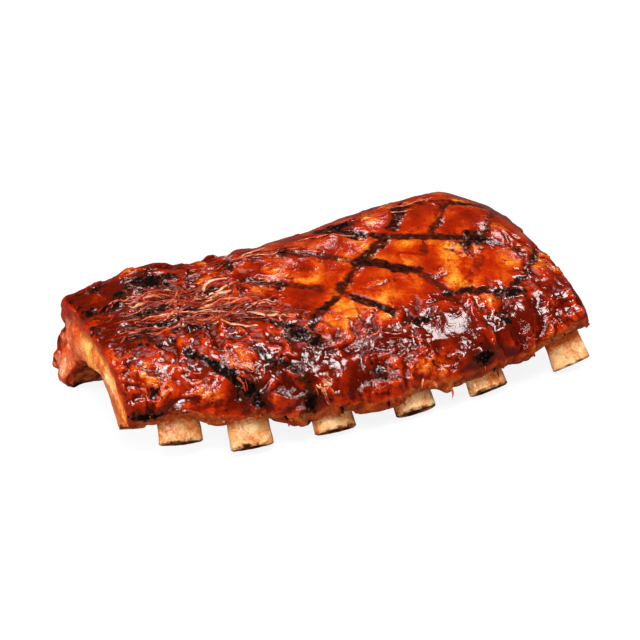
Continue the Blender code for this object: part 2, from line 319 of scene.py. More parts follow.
def facet_noise(places, size, seed, tilt=0.45, crown=0.35):
    """Flat facets that meet in sharp creases, in mm: the highest of tilted caps round strewn points.

    A cap's height is tilt . away - crown * |away|^2, both in cells, and away is the way from its point.
    """
    size = np.asarray(size, float) * np.ones(3)
    cells = places / size
    low = np.floor(cells).astype(np.int64)
    rng = np.random.default_rng(seed)
    strewn = rng.random((256, 3))
    tilts = rng.normal(scale=tilt, size=(256, 3))
    highest = np.full(len(places), -9.0)
    for step in np.ndindex(3, 3, 3):
        cell = low + step - 1
        number = cell_numbers(cell, seed)
        away = cells - cell - strewn[number]
        cap = np.einsum("ij,ij->i", away, tilts[number]) - crown * np.einsum("ij,ij->i", away, away)
        highest = np.maximum(highest, cap)
    return highest * size.min()


def neighbour_mean(values, pairs):
    """The mean of the neighbours' values at each vertex: sums over both directions of every edge."""
    count = len(values)
    one, two = pairs.T
    near = np.bincount(one, minlength=count) + np.bincount(two, minlength=count)
    columns = values.reshape(count, -1).T
    sums = [np.bincount(one, c[two], count) + np.bincount(two, c[one], count) for c in columns]
    return (np.stack(sums, axis=-1) / near[:, None]).reshape(values.shape)


def smoothed(values, pairs, rounds):
    """The values after so many rounds in which every vertex takes its neighbours' mean."""
    for _ in range(rounds):
        values = neighbour_mean(values, pairs)
    return values


def vertex_normals(places, faces):
    """The sum of the faces' normals round each vertex, each the cross product of the face's diagonals."""
    corner = places[faces]
    normal = np.cross(corner[:, 2] - corner[:, 0], corner[:, 3] - corner[:, 1])
    sums = [np.bincount(faces.ravel(), np.repeat(axis, 4), len(places)) for axis in normal.T]
    total = np.stack(sums, axis=-1)
    return total / np.maximum(np.linalg.norm(total, axis=1, keepdims=True), 1e-12)


def grid_faces(index):
    """Quads between the neighbours of a grid of vertex numbers."""
    corners = (index[:-1, :-1], index[1:, :-1], index[1:, 1:], index[:-1, 1:])
    return np.stack(corners, axis=-1).reshape(-1, 4)


def zip_faces(one, two):
    """Triangles between two rows of unlike length: each step leans on the other row's nearest vertex.

    A triangle repeats its last vertex, so that it can stand in a list of quads.
    """
    middle_one = (np.arange(len(one) - 1) + 0.5) / (len(one) - 1)
    middle_two = (np.arange(len(two) - 1) + 0.5) / (len(two) - 1)
    apex_two = two[np.searchsorted(middle_two, middle_one)]
    apex_one = one[np.searchsorted(middle_one, middle_two, side="right")]
    first = np.stack([one[:-1], one[1:], apex_two, apex_two], axis=-1)
    second = np.stack([two[1:], two[:-1], apex_one, apex_one], axis=-1)
    return np.concatenate([first, second])


def new_piece(name, places, faces, masks, material):
    """A smooth mesh from places in mm, quads (a triangle repeats its last vertex) and vertex masks."""
    mesh = bpy.data.meshes.new(name)
    triangle = faces[:, 2] == faces[:, 3]
    mesh.from_pydata(places * MM, [], faces[~triangle].tolist() + faces[triangle, :3].tolist())
    for mask, values in masks.items():
        mesh.attributes.new(mask, "FLOAT", "POINT").data.foreach_set("value", values.astype(np.float32))
    mesh.shade_smooth()
    mesh.materials.append(material)
    piece = bpy.data.objects.new(name, mesh)
    bpy.context.scene.collection.objects.link(piece)
    return piece


def add_node(tree, kind, settings=None, **inputs):
    """A shader node with its settings and inputs; an input is a value or another node's output socket."""
    node = tree.nodes.new(kind)
    for setting, value in (settings or {}).items():
        setattr(node, setting, value)
    for socket, value in inputs.items():
        target = node.inputs[int(socket[1:]) if socket[1:].isdigit() else socket.replace("_", " ")]
        if isinstance(value, bpy.types.NodeSocket):
            tree.links.new(value, target)
        else:
            target.default_value = (*value, 1.0) if target.type == "RGBA" else value
    return node


def calc(tree, operation, one, two=0.0, three=0.0):
    """A Math node's result."""
    return add_node(tree, "ShaderNodeMath", {"operation": operation}, _0=one, _1=two, _2=three).outputs[0]


def blend_colours(tree, factor, one, two, blend_type="MIX"):
    """A colour Mix node's result."""
    settings = {"data_type": "RGBA", "blend_type": blend_type}
    return add_node(tree, "ShaderNodeMix", settings, _0=factor, _6=one, _7=two).outputs[2]


def noise_value(tree, places, scale, detail=2.0, distortion=0.0):
    """A Noise Texture's value, about 0.3 to 0.7."""
    return add_node(tree, "ShaderNodeTexNoise", None, Vector=places, Scale=scale, Detail=detail,
                    Distortion=distortion).outputs["Fac"]


def mask_value(tree, name):
    """A vertex mask's value."""
    return add_node(tree, "ShaderNodeAttribute", {"attribute_name": name}).outputs["Fac"]


def clamp_range(tree, value, low, high):
    """Map Range from low..high to 0..1, clamped and smooth."""
    settings = {"interpolation_type": "SMOOTHSTEP"}
    node = add_node(tree, "ShaderNodeMapRange", settings, Value=value, From_Min=low, From_Max=high)
    return node.outputs[0]


def mottled(tree, noise, low, high, one, two):
    """Patches of two colours: the first where the noise is under low, the second where it is over high."""
    return blend_colours(tree, clamp_range(tree, noise, low, high), one, two)


def swayed(tree, value, *noises):
    """The value plus, for each noise, its strength times how far it is from its middle, 0.5."""
    for noise, strength in noises:
        value = calc(tree, "MULTIPLY_ADD", calc(tree, "SUBTRACT", noise, 0.5), strength, value)
    return value


def new_material(name, **settings):
    """A material, its node tree, its shader with plain settings, and the Object coordinates."""
    material = bpy.data.materials.new(name)
    material.use_nodes = True
    tree = material.node_tree
    shader = tree.nodes["Principled BSDF"]
    for socket, value in settings.items():
        shader.inputs[socket.replace("_", " ")].default_value = value
    return material, tree, shader, add_node(tree, "ShaderNodeTexCoord").outputs["Object"]


def feed(tree, shader, **sources):
    """Links each source to the shader's socket of that name."""
    for socket, source in sources.items():
        tree.links.new(source, shader.inputs[socket.replace("_", " ")])


SAUCE_TINT = (0.53, 0.092, 0.026)
SAUCE_SHADE = (0.48, 0.45, 0.45)
FULL_HUE = 1.3                   # the sauce's thickness past which it only darkens
MOST_SHADE = 1.7                 # and how much further it goes on doing so
PEPPER = (0.030, 0.004, 0.002)
PEPPER_SHARE = 0.09
BROWNED = (0.075, 0.010, 0.003)
CHARRED = (0.006, 0.002, 0.0015)


def glaze_group():
    """Coloured sauce over meat: the under colour times the sauce's tint to the power of its thickness.

    Past FULL_HUE the hue stays and the sauce only darkens. The thickness wanders with noise at three
    sizes, and pepper lies in it as dark specks. Where it is burnt it turns brown, then black, dull and
    without a coat.
    """
    group = bpy.data.node_groups.new("sticky_glaze", "ShaderNodeTree")
    for name, kind in (("Under", "NodeSocketColor"), ("Thickness", "NodeSocketFloat"),
                       ("Burnt", "NodeSocketFloat"), ("Specks", "NodeSocketFloat")):
        group.interface.new_socket(name=name, in_out="INPUT", socket_type=kind)
    for name, kind in (("Colour", "NodeSocketColor"), ("Roughness", "NodeSocketFloat"),
                       ("Coat", "NodeSocketFloat")):
        group.interface.new_socket(name=name, in_out="OUTPUT", socket_type=kind)
    given = group.nodes.new("NodeGroupInput").outputs
    result = group.nodes.new("NodeGroupOutput").inputs
    places = group.nodes.new("ShaderNodeTexCoord").outputs["Object"]

    broad = noise_value(group, places, 90.0, 3.0, 0.6)
    middle = noise_value(group, places, 330.0, 3.0, 0.8)
    fine = noise_value(group, places, 1300.0, 2.0)
    wander = swayed(group, given["Thickness"], (broad, 1.3), (middle, 1.1), (fine, 1.0))
    wander = calc(group, "MAXIMUM", wander, 0.02)
    soaked = calc(group, "MINIMUM", wander, FULL_HUE)
    deeper = calc(group, "MINIMUM", calc(group, "SUBTRACT", wander, soaked), MOST_SHADE)
    colour = given["Under"]
    for tint, power in ((SAUCE_TINT, soaked), (SAUCE_SHADE, deeper)):
        filtered = add_node(group, "ShaderNodeGamma", None, Color=tint, Gamma=power).outputs[0]
        colour = blend_colours(group, 1.0, colour, filtered, "MULTIPLY")

    pepper = add_node(group, "ShaderNodeTexVoronoi", {"feature": "F1"}, Vector=places, Scale=620.0)
    lot = add_node(group, "ShaderNodeSeparateColor", None, Color=pepper.outputs["Color"]).outputs[0]
    rare = calc(group, "LESS_THAN", lot, PEPPER_SHARE)
    speck = calc(group, "MULTIPLY", clamp_range(group, pepper.outputs["Distance"], 0.34, 0.12), rare)
    speck = calc(group, "MULTIPLY", speck, given["Specks"])
    colour = blend_colours(group, speck, colour, PEPPER)

    ragged = calc(group, "MULTIPLY", swayed(group, 1.0, (middle, 1.7), (fine, 0.8)), given["Burnt"])
    browned = clamp_range(group, ragged, 0.15, 0.6)
    black = clamp_range(group, ragged, 0.48, 0.88)
    colour = blend_colours(group, browned, colour, BROWNED)
    colour = blend_colours(group, black, colour, CHARRED)
    dull = calc(group, "MULTIPLY_ADD", middle, 0.25, 0.16)
    group.links.new(colour, result["Colour"])
    group.links.new(calc(group, "MULTIPLY_ADD", black, 0.2, dull), result["Roughness"])
    group.links.new(calc(group, "SUBTRACT", 1.0, black), result["Coat"])
    return group


sticky_glaze = glaze_group()


# The meat under the sauce: a darker and a paler colour of each kind.
ROAST = (0.93, 0.36, 0.03), (1.0, 0.45, 0.045)
TORN_MEAT = (0.50, 0.16, 0.05), (0.95, 0.62, 0.40)
CUT_MEAT = (0.82, 0.28, 0.13), (0.97, 0.52, 0.36)
CUT_FAT = (1.0, 0.52, 0.12)
LINING = (0.36, 0.15, 0.06), (0.72, 0.42, 0.20)


def meat_material():
    """Cooked meat under glaze: bare flesh at the cuts, membrane in the arch, pale torn strands on top, and
    painted shade in the hollows.
    """
    material, tree, shader, places = new_material(
        "glazed_meat", Coat_Roughness=0.05, Coat_IOR=1.75, Specular_IOR_Level=0.03, Subsurface_Weight=0.07,
        Subsurface_Radius=(1.0, 0.35, 0.12), Subsurface_Scale=0.0025)
    strand, flesh, membrane, fat, hollow_shade, glaze_mask, burnt_mask, crinkle = (
        mask_value(tree, name)
        for name in ("strand", "flesh", "membrane", "fat", "hollow_shade", "glaze", "burnt", "crinkle"))

    stretched = add_node(tree, "ShaderNodeMapping", None, Vector=places, Scale=(0.14, 1.0, 1.0)).outputs[0]
    streaks = noise_value(tree, stretched, 900.0, 3.0, 0.4)
    roast = mottled(tree, noise_value(tree, places, 140.0, 2.0), 0.35, 0.65, *ROAST)
    torn = mottled(tree, streaks, 0.4, 0.62, *TORN_MEAT)
    raw = mottled(tree, noise_value(tree, places, 260.0, 3.0, 1.0), 0.38, 0.62, *CUT_MEAT)
    lining = mottled(tree, noise_value(tree, places, 180.0, 4.0, 0.5), 0.35, 0.65, *LINING)
    under = blend_colours(tree, strand, roast, torn)
    under = blend_colours(tree, flesh, under, blend_colours(tree, fat, raw, CUT_FAT))
    under = blend_colours(tree, membrane, under, lining)

    # The burnt mask also carries painted shade in the gaps between torn fibres and on the membrane inside
    # the arch.
    glaze = add_node(tree, "ShaderNodeGroup", {"node_tree": sticky_glaze}, Under=under, Thickness=glaze_mask,
                     Burnt=burnt_mask, Specks=calc(tree, "SUBTRACT", 1.0, membrane))
    # Painted shade: the base colour darkens by up to about a third in the hollows and crevices.
    shade = calc(tree, "MULTIPLY_ADD", hollow_shade, -0.35, 1.0)
    shade = add_node(tree, "ShaderNodeCombineColor", None, Red=shade, Green=shade, Blue=shade).outputs[0]
    rough = glaze.outputs["Roughness"]
    for mask, more in ((membrane, 0.2), (strand, 0.12)):
        rough = calc(tree, "MULTIPLY_ADD", mask, more, rough)
    coat = glaze.outputs["Coat"]
    for mask, less in ((membrane, -0.7), (strand, -0.4), (flesh, -0.25)):
        coat = calc(tree, "MULTIPLY", coat, calc(tree, "MULTIPLY_ADD", mask, less, 1.0))

    grain = noise_value(tree, places, 1500.0, 3.0, 0.5)
    fibres = calc(tree, "MULTIPLY", streaks, calc(tree, "MULTIPLY_ADD", strand, 0.9, 0.1))
    height = calc(tree, "MULTIPLY_ADD", fibres, 1.2, calc(tree, "MULTIPLY", grain, 0.08))
    crumple = calc(tree, "ABSOLUTE", calc(tree, "SUBTRACT", noise_value(tree, places, 480.0, 2.0, 0.8), 0.5))
    height = calc(tree, "MULTIPLY_ADD", crumple, calc(tree, "MULTIPLY_ADD", crinkle, -2.0, -0.6), height)
    bump = add_node(tree, "ShaderNodeBump", None, Height=height, Strength=0.35, Distance=0.0006).outputs[0]
    feed(tree, shader, Base_Color=blend_colours(tree, 1.0, glaze.outputs["Colour"], shade, "MULTIPLY"),
         Roughness=rough, Coat_Weight=coat, Normal=bump, Coat_Normal=bump)
    return material


# The closed mesh: a ring of rows (skin, rim, underside, foot) for each column, and a cut face at
# both ends. Each vertex has its zone, its arc and share across along the skin, and its depth under
# the skin on a cut face.
SKIN_ZONE, RIM_ZONE, UNDER_ZONE, FOOT_ZONE, CUT_ZONE = range(5)
COLUMNS_BUNCHED = 0.3            # how much closer the columns stand towards the ends
even = np.linspace(-1, 1, MEAT_COLUMNS)
e = (1 - COLUMNS_BUNCHED) * even + COLUMNS_BUNCHED * np.sin(even * np.pi / 4) / np.sin(np.pi / 4)
fine_s = np.linspace(0, 1, 801)
middle_section = skin_surface(np.array([0.0]), fine_s)[:, 0]
fine_arc = np.append(0.0, np.cumsum(np.linalg.norm(np.diff(middle_section, axis=0), axis=1)))
lip_arc = fine_arc[-1]
row_arc = np.append(np.linspace(0, BACK_WALL_ARC, BACK_ROWS, endpoint=False),
                    np.linspace(BACK_WALL_ARC, lip_arc, TOP_ROWS))
row_s = np.interp(row_arc, fine_arc, fine_s)
skin_rows = len(row_s)
skin_grid = skin_surface(e, row_s)
under_grid = underside_surface(e, np.linspace(1, 0, UNDER_ROWS))
inwards = (np.arange(RIM_ROWS) + 1) / (RIM_ROWS + 1)
rim_grid = skin_grid[-1] + (under_grid[0] - skin_grid[-1]) * inwards[:, None, None]
foot_grid = under_grid[-1] + (skin_grid[0] - under_grid[-1]) * inwards[:, None, None]
ring = np.concatenate([skin_grid, rim_grid, under_grid, foot_grid])
index = np.arange(ring[..., 0].size).reshape(ring.shape[:2])
faces = [grid_faces(np.vstack([index, index[:1]]))]
places = [ring.reshape(-1, 3)]
row_facts = np.stack([
    np.repeat([SKIN_ZONE, RIM_ZONE, UNDER_ZONE, FOOT_ZONE], [skin_rows, RIM_ROWS, UNDER_ROWS, RIM_ROWS]),
    np.concatenate([row_arc, np.full(RIM_ROWS + UNDER_ROWS, lip_arc), np.zeros(RIM_ROWS)]),
    np.concatenate([row_s, np.ones(RIM_ROWS), np.linspace(1, 0, UNDER_ROWS), np.zeros(RIM_ROWS)]),
    np.zeros(len(ring))])
facts = [np.repeat(row_facts, MEAT_COLUMNS, axis=1)]
first_free = index.size
for end in (0, -1):
    outer = skin_surface(e[[end]], row_s[1:-1])
    inner = underside_surface(e[[end]], row_s[1:-1])
    cut_face = outer + (inner - outer) * inwards[None, :, None]
    inside = first_free + np.arange(cut_face[..., 0].size).reshape(cut_face.shape[:2])
    first_free += inside.size
    top = skin_rows + RIM_ROWS
    back_row = index[:top + UNDER_ROWS - 1:-1, end]      # foot rows, from the skin inwards
    front_row = index[skin_rows:top, end]                # rim rows, from the skin inwards
    whole = np.hstack([index[:skin_rows, end][:, None], np.vstack([back_row, inside, front_row])])
    under_row = index[top:top + UNDER_ROWS, end][::-1]
    made = np.concatenate([grid_faces(whole), zip_faces(whole[:, -1], under_row)])
    faces.append(made[:, ::-1] if end == 0 else made)
    places.append(cut_face.reshape(-1, 3))
    facts.append(np.stack([np.full(inside.size, CUT_ZONE), np.repeat(row_arc[1:-1], RIM_ROWS),
                           np.repeat(row_s[1:-1], RIM_ROWS), np.tile(inwards, len(outer))]))
faces = np.concatenate(faces)
# A reversed triangle has its repeated vertex first: turn it round so that it is last again.
first_twice = faces[:, 0] == faces[:, 1]
faces[first_twice] = faces[first_twice][:, [1, 2, 3, 3]]
places = np.concatenate(places)
zone, arc, girth, depth = np.concatenate(facts, axis=1)
pairs = np.concatenate([faces[:, [0, 1]], faces[:, [1, 2]], faces[:, [3, 0]], faces[:, [2, 3]]])
pairs = pairs[pairs[:, 0] != pairs[:, 1]]

# The left end: its top sags over the last stretch, and the cut's outline steps in under the
# shoulder and swells out again above the foot.
from_left = places[:, 0] - places[:, 0].min()
left_end = bell(from_left, 0.0, 9.0)
places[:, 2] -= LEFT_SAG * bell(from_left, 0.0, 12.0) * ramp(girth, 0.12, 0.3) * (1 - ramp(girth, 0.5, 0.75))
places[:, 0] += (LEFT_STEP_IN * bell(girth, 0.20, 0.06) - LEFT_SWELL * bell(girth, 0.075, 0.04)) * left_end

# Rounded edges: vertices near the border of a zone move to the middle of their neighbours, again
# and again.
border = np.zeros(len(places))
border[pairs[zone[pairs[:, 0]] != zone[pairs[:, 1]]].ravel()] = 1.0
for _ in range(6):
    border = np.maximum(border, neighbour_mean(border, pairs) * 1.4)
border = np.minimum(border, 1.0)
for _ in range(ROUNDING_ROUNDS):
    places += (neighbour_mean(places, pairs) - places) * 0.6 * border[:, None]

on_skin, on_cut = (smoothed(np.where(zone == here, 1.0, 0.0), pairs, 8) for here in (SKIN_ZONE, CUT_ZONE))
bare_zones = [zone == RIM_ZONE, zone == UNDER_ZONE, zone == FOOT_ZONE]
on_membrane = smoothed(np.select(bare_zones, [0.75, 1.0, 1.0]), pairs, 8)


def uneven(size, seed):
    """Gradient noise at the slab's vertices, wherever they are by now."""
    return gradient_noise(places, size, seed)


x = places[:, 0].copy()
level_place = np.stack([x, arc, np.zeros_like(x)], axis=-1)
wobble = np.stack([uneven(9.0, 11), uneven(9.0, 12)], axis=-1)
jitter = np.stack([uneven(2.6, 13), uneven(2.6, 14)], axis=-1)
warp = np.stack([uneven(12.0, 15), uneven(12.0, 16), np.zeros_like(x)], axis=-1)


def spread(spots, seed):
    """The strongest of round spots at each place on the skin, with edges that wander."""
    total = np.zeros(len(places))
    ragged = 1 + 0.9 * uneven(3.4, seed) + 0.5 * uneven(1.5, seed + 1)
    for spot_x, spot_arc, half_x, half_arc, strength in spots:
        away = ((x - spot_x) / half_x) ** 2 + ((arc - spot_arc) / half_arc) ** 2
        total = np.maximum(total, strength * np.exp(-(away * np.maximum(0.1, ragged)) ** 1.3))
    return total * on_skin


def line_distance(points, sway):
    """How far each place on the skin, moved by its sway, is from the line's nearest run."""
    here = level_place[:, :2] + sway
    nearest = np.full(len(x), np.inf)
    for one, two in zip(points, points[1:]):
        start = np.array(one, float)
        run = np.array(two, float) - start
        share = np.clip((here - start) @ run / (run @ run), 0.0, 1.0)
        nearest = np.minimum(nearest, np.linalg.norm(here - start - share[:, None] * run, axis=1))
    return nearest


def grill_marks():
    """The burnt lines: 1 within a line's half width, which wanders, as does its strength."""
    total = np.zeros(len(places))
    patchy = uneven(6.5, 21) + 0.5 * uneven(2.3, 22)
    for points, half, strength in GRILL_LINES:
        reach = half * (1.1 + 0.5 * patchy)
        inside = 1 - ramp(line_distance(points, 1.1 * wobble + 0.9 * jitter), reach - 0.7, reach + 1.0)
        total = np.maximum(total, inside * strength * (1 - 0.5 * ramp(patchy, 0.2, 0.9)))
    return total * on_skin


def folded_skin():
    """The sum of the folds, in mm: each one's height times exp(-(distance / half width) ^ 1.4)."""
    sway = 1.6 * wobble + 0.5 * jitter
    folds = (height * np.exp(-((line_distance(points, sway) / half) ** 1.4))
             for points, height, half in FOLDS)
    return sum(folds) * on_skin


marks = grill_marks()
pools = spread(POOLS, 31)
burnt = ramp(spread(BURNT_SPOTS, 33), 0.12, 0.75)
thin = spread(THIN_SPOTS, 35)
round_burnt = [(a, b, 1.9 * half_x, 1.7 * half_arc, f) for a, b, half_x, half_arc, f in BURNT_SPOTS]
scorched = ramp(spread(round_burnt, 33), 0.08, 0.7)
crinkled = ramp(spread(CRINKLE_SPOTS, 39), 0.05, 0.5)
strands = np.minimum(1.0, spread(STRAND_SPOTS, 37) * 1.2)
front = ramp(arc, 110, 132) * on_skin
back = (1 - ramp(arc, 34, 50)) * on_skin
crest = bell(arc, 50, 8) * on_skin
right_end = ramp(x, 70, 84) * ramp(arc, 78, 96) * on_skin
smooth_top = (1 - front) * (1 - back) * ramp(x, -34, -8) * (1 - 0.7 * right_end) * on_skin
rough_top = on_skin * (1 - smooth_top)
fold_zone = np.maximum(front * ramp(x, -20, 25), 0.6 * right_end)
draped = front * ramp(x, 22, 32)
cut_leg = on_cut * (1 - ramp(arc, 30, 50))

# Patterns of the skin: turned runs with the torn fibres, folded down the front's folds, and
# crumpled every way.
turned = level_place + 3.0 * warp
turned = np.stack([turned[:, 0] * 0.97 + turned[:, 1] * 0.24, turned[:, 1] * 0.97 - turned[:, 0] * 0.24,
                   np.zeros_like(x)], axis=-1)
folded = level_place + 5.0 * warp
folded[:, 0] += 0.25 * arc
crumpled = places + 3.5 * warp
torn = crease_noise(turned, (15.0, 2.6, 5.0), 43) + 0.5 * crease_noise(turned, (8.0, 1.5, 5.0), 44)
folds = crease_noise(folded, (10.0, 36.0, 9.0), 45) + 0.4 * crease_noise(folded, (4.6, 17.0, 9.0), 46)
pleats = crease_noise(folded, (2.4, 9.0, 5.0), 60) + 0.6 * crease_noise(places, 1.9, 65)
mounds = sum(share * np.abs(gradient_noise(crumpled, size, seed))
             for share, size, seed in ((1.0, 13.0, 47), (0.5, 6.5, 48), (0.22, 3.2, 58)))
wrinkles = crease_noise(places + 1.6 * warp, 3.4, 49) + 0.5 * crease_noise(places, 1.9, 50)
facets = facet_noise(folded, (6.0, 9.0, 8.0), 81)
chips = facet_noise(crumpled, 3.0, 82) + 0.5 * facet_noise(crumpled, 1.9, 83)
beads = 1 - np.minimum(1.0, cell_noise(places, 2.6, 51) * 1.25)
grit = 1 - np.minimum(1.0, cell_noise(places, 1.8, 52) * 1.2) + 0.6 * uneven(1.7, 53)
busy = ramp(uneven(12.0, 57), -0.12, 0.3)

# Relief, in mm along the normal: each pattern's height times where on the skin it is.
relief = (uneven(26.0, 41) + 0.6 * uneven(13.0, 42)) * (1 - 0.5 * smooth_top)
relief -= SCALLOP_HOLLOW * (1 - ridge(x - RACK_OFFSET[0], 0.7)) * front
relief += (mounds - 0.5) * (0.1 * on_skin + 0.6 * front + 0.5 * rough_top * (1 - front) + 0.4 * crest)
faceted = np.clip(0.03 + 0.32 * front + 0.25 * rough_top, 0, 0.35) * ramp(x, -104, -76)
relief += (facets - facets.mean()) * faceted * (1 - 0.8 * strands) * (1 - 0.5 * draped)
chipped = (0.6 * front + 0.4 * rough_top) * busy * (1 - 0.7 * draped) + 0.4 * crinkled
relief += (chips - chips.mean()) * np.clip(0.04 + chipped, 0, 0.65)
relief += folded_skin() + FOLD_RELIEF * (folds - 0.6) * fold_zone
relief += WRINKLE_RELIEF * (wrinkles - 0.6) * np.clip(0.06 + 0.8 * front + 0.4 * rough_top, 0, 1) * busy
relief += PLEAT_RELIEF * (pleats - 0.7) * crinkled
relief += FIBRE_RELIEF * (torn - 0.7) * np.clip(strands + 0.15 * rough_top * (1 - front), 0, 1)
relief += BEAD_RELIEF * beads * np.maximum(0.7 * right_end, 0.5 * front * (1 - busy))
# The crest dips in two places and swells over the left shoulder.
relief -= CREST_DIP * bell(arc, 47, 14) * ramp(x, -60, -40) * (1 - ramp(x, 0, 50)) * on_skin
relief -= CREST_DIP * bell(x, 86, 13) * bell(arc, 49, 18) * on_skin
relief += SHOULDER_SWELL * bell(x, -64, 9) * bell(arc, 48, 11) * on_skin
# Sauce fills what lies deeper than its level, and stands level in the pools.
level = smoothed(relief, pairs, 24)
filled = level - SAUCE_DEPTH + np.logaddexp(0, (relief - level + SAUCE_DEPTH) * 14) / 14
relief += (filled - relief) * on_skin * 0.75
relief += (level + 0.3 - relief) * np.minimum(1.0, pools * 1.3) * 0.9
relief -= MARK_DEPTH * marks * (1 - 0.6 * front) - 0.15 * marks * grit
relief += burnt * (0.25 + CHAR_RELIEF * grit)
# The cut faces and the inside are rough meat, with a groove where the left cut lays the rib bare.
relief += on_membrane * MEMBRANE_RELIEF * uneven(5.0, 54)
relief += on_cut * (CUT_RELIEF * uneven(6.0, 55) + 0.3 * uneven(2.6, 56))
relief -= on_cut * RIB_GROOVE * bell(depth, 0.3, 0.16) * (1 - ramp(arc, 95, 115))
ragged_end = 1.8 * uneven(6.0, 84) + 1.1 * uneven(2.8, 85)
relief += ((on_membrane + back) * left_end + 0.6 * cut_leg) * ragged_end
# How far each vertex lies below the level round it, at two sizes: this thickens the sauce there and darkens
# the base colour as painted shade.
level = smoothed(relief, pairs, 5)
crevice_shade = np.clip((level - relief) * 4.0, 0, 1)
hollow_shade = np.clip((smoothed(level, pairs, 25) - relief) * 0.9, -0.6, 1.0)
places += vertex_normals(places, faces) * relief[:, None]
places[:, 2] = np.maximum(places[:, 2], 0.0)
x = places[:, 0]

# How thick the sauce lies: deep in hollows, pools and scorched places, thin on high ones. The extra depth in
# hollows and crevices is partly painted shade.
glaze = 1.15 + 0.4 * uneven(30.0, 61) + 1.1 * uneven(9.0, 62) + 0.5 * uneven((7.0, 3.5, 3.5), 64) * rough_top
glaze += 0.45 * rough_top + 0.3 * front + 1.1 * pools + 0.7 * scorched + 0.1 * fold_zone - 0.45 * right_end
glaze -= 0.1 * front * (1 - ramp(x, -62, -30))
glaze += 0.5 * (1 - front) * (1 - ramp(x, -84, -66)) * on_skin
glaze += 1.4 * np.clip(hollow_shade, -0.3, 1.0) + 0.9 * crevice_shade
glaze = glaze * (1 - 0.75 * thin) + 1.1 * strands
bare = np.maximum(0.75 * strands * ramp(torn, 1.0, 1.35), 0.2 * crinkled * front * ramp(pleats, 1.0, 1.35))
glaze *= 1 - 0.8 * bare
band = ramp(arc + 2.0 * uneven(7.0, 66), 148.0, 151.5) * on_skin
glaze += (0.75 - glaze) * band
back_leg = np.minimum(1.0, 1.3 * left_end) * (1 - ramp(arc, 26, 40)) * on_skin
glaze += (0.65 + 0.6 * uneven(4.5, 87) - glaze) * back_leg
fat = on_cut * ramp(arc, 55, 85)
cut_glaze = 1.3 * (1 - ramp(depth + 0.12 * uneven(5.0, 67), 0.1, 0.32)) * (1 - 0.85 * cut_leg)
cut_glaze += 0.55 - 0.45 * ramp(depth, 0.3, 0.45) * fat + 0.25 * uneven(5.0, 68)
cut_glaze += 0.45 * ramp(x, 60, 80) + cut_leg * (0.4 * uneven(4.0, 70) - 0.25)
glaze = glaze * on_skin + cut_glaze * on_cut + 0.65 * on_membrane

# How burnt it is: grill marks, burnt spots, stains along the fibres, and the leg of the left cut, with
# painted shade in the gaps between torn fibres and on the membrane inside the arch.
stains = ramp(gradient_noise(turned, (16.0, 5.0, 5.0), 72), 0.12, 0.55) * rough_top * (1 - draped)
charring = uneven(4.0, 86)
# The last term darkens the gaps between the torn fibres: painted shade in the crevices between them.
char_and_shade = np.max([marks * (0.7 + 0.2 * front), burnt, 0.45 * scorched, 0.42 * stains * (1 - 0.8 * thin),
                    0.5 * strands * (1 - ramp(torn, 0.3, 0.8))], axis=0)
char_and_shade += 0.25 * on_skin * back * ramp(uneven(9.0, 63), 0.1, 0.6)
# Painted shade: the membrane inside the arch darkens in blotches, most at the left end, where the back leg's
# skin also chars.
char_and_shade += 0.45 * on_membrane * ramp(uneven(6.0, 69), -0.2, 0.4) * (1 - band)
char_and_shade += 0.45 * left_end * (on_membrane + back_leg) * ramp(charring, -0.5, 0.2)
char_and_shade += 0.6 * cut_leg * (1 - ramp(depth, 0.1, 0.35)) * ramp(charring, -0.3, 0.3)
masks = {
    "glaze": np.maximum(glaze, 0.05), "burnt": char_and_shade, "strand": bare, "crinkle": crinkled, "fat": fat,
    "flesh": np.clip(on_cut + 0.85 * back_leg, 0, 1), "hollow_shade": np.clip(hollow_shade + 0.7 * crevice_shade, 0, 1),
    "membrane": np.clip(on_membrane + 0.7 * band + 0.75 * back_leg, 0, 1),
}
meat = new_piece("meat_slab", places, faces, masks, meat_material())
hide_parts("meat")
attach(meat, "root")

# ----------------------------------------------------------------------------
# Torn strands: dry meat fibres that have come loose from the skin, mostly on the left, and short
# shreds that hang from the lip. Each is a flat tapered tube whose ends sink into the slab.
# ----------------------------------------------------------------------------
STRAND_POINTS = 11
STRAND_SIDES = 5
STRAND_LENGTHS = (6.0, 22.0)
STRAND_HALF_HEIGHTS = (0.14, 0.28)
STRAND_RISE = 0.3                # how far a strand's middle may stand off the skin
STRAND_SUNK = 0.15               # and how deep its ends sink into it
HEADING_SPREAD = 19              # degrees, as are the next two
BEND_SPREAD = 50
STRAND_WAVE = 13
BED_SCATTER = 0.6                # how far strands lie from a bed's middle, in its half lengths
FRINGE_COUNT = 60
FRINGE_LENGTHS = (0.8, 2.4)


def skin_places(at_x, at_arc, lift):
    """Places over the finished skin: the four vertices round each blended, then raised along the normal."""
    s = np.interp(at_arc, row_arc, row_s)
    left = MEAT_LEFT + LEFT_CUT_SLANT * s
    at_e = 2 * (at_x - RACK_OFFSET[0] - left) / (MEAT_RIGHT - left) - 1
    column = np.clip(np.interp(at_e, e, np.arange(MEAT_COLUMNS)), 0, MEAT_COLUMNS - 1.001)
    row = np.clip(np.interp(at_arc, row_arc, np.arange(skin_rows)), 0, skin_rows - 1.001)
    low_row, low_column = row.astype(int), column.astype(int)
    f, g = (row - low_row)[..., None], (column - low_column)[..., None]
    both = np.concatenate([places, vertex_normals(places, faces)], axis=1)[:skin_rows * MEAT_COLUMNS]
    grid = both.reshape(skin_rows, MEAT_COLUMNS, 6)
    near = grid[low_row, low_column] * (1 - g) + grid[low_row, low_column + 1] * g
    far = grid[low_row + 1, low_column] * (1 - g) + grid[low_row + 1, low_column + 1] * g
    found = near * (1 - f) + far * f
    return found[..., :3] + found[..., 3:] * lift[..., None], found[..., 3:]


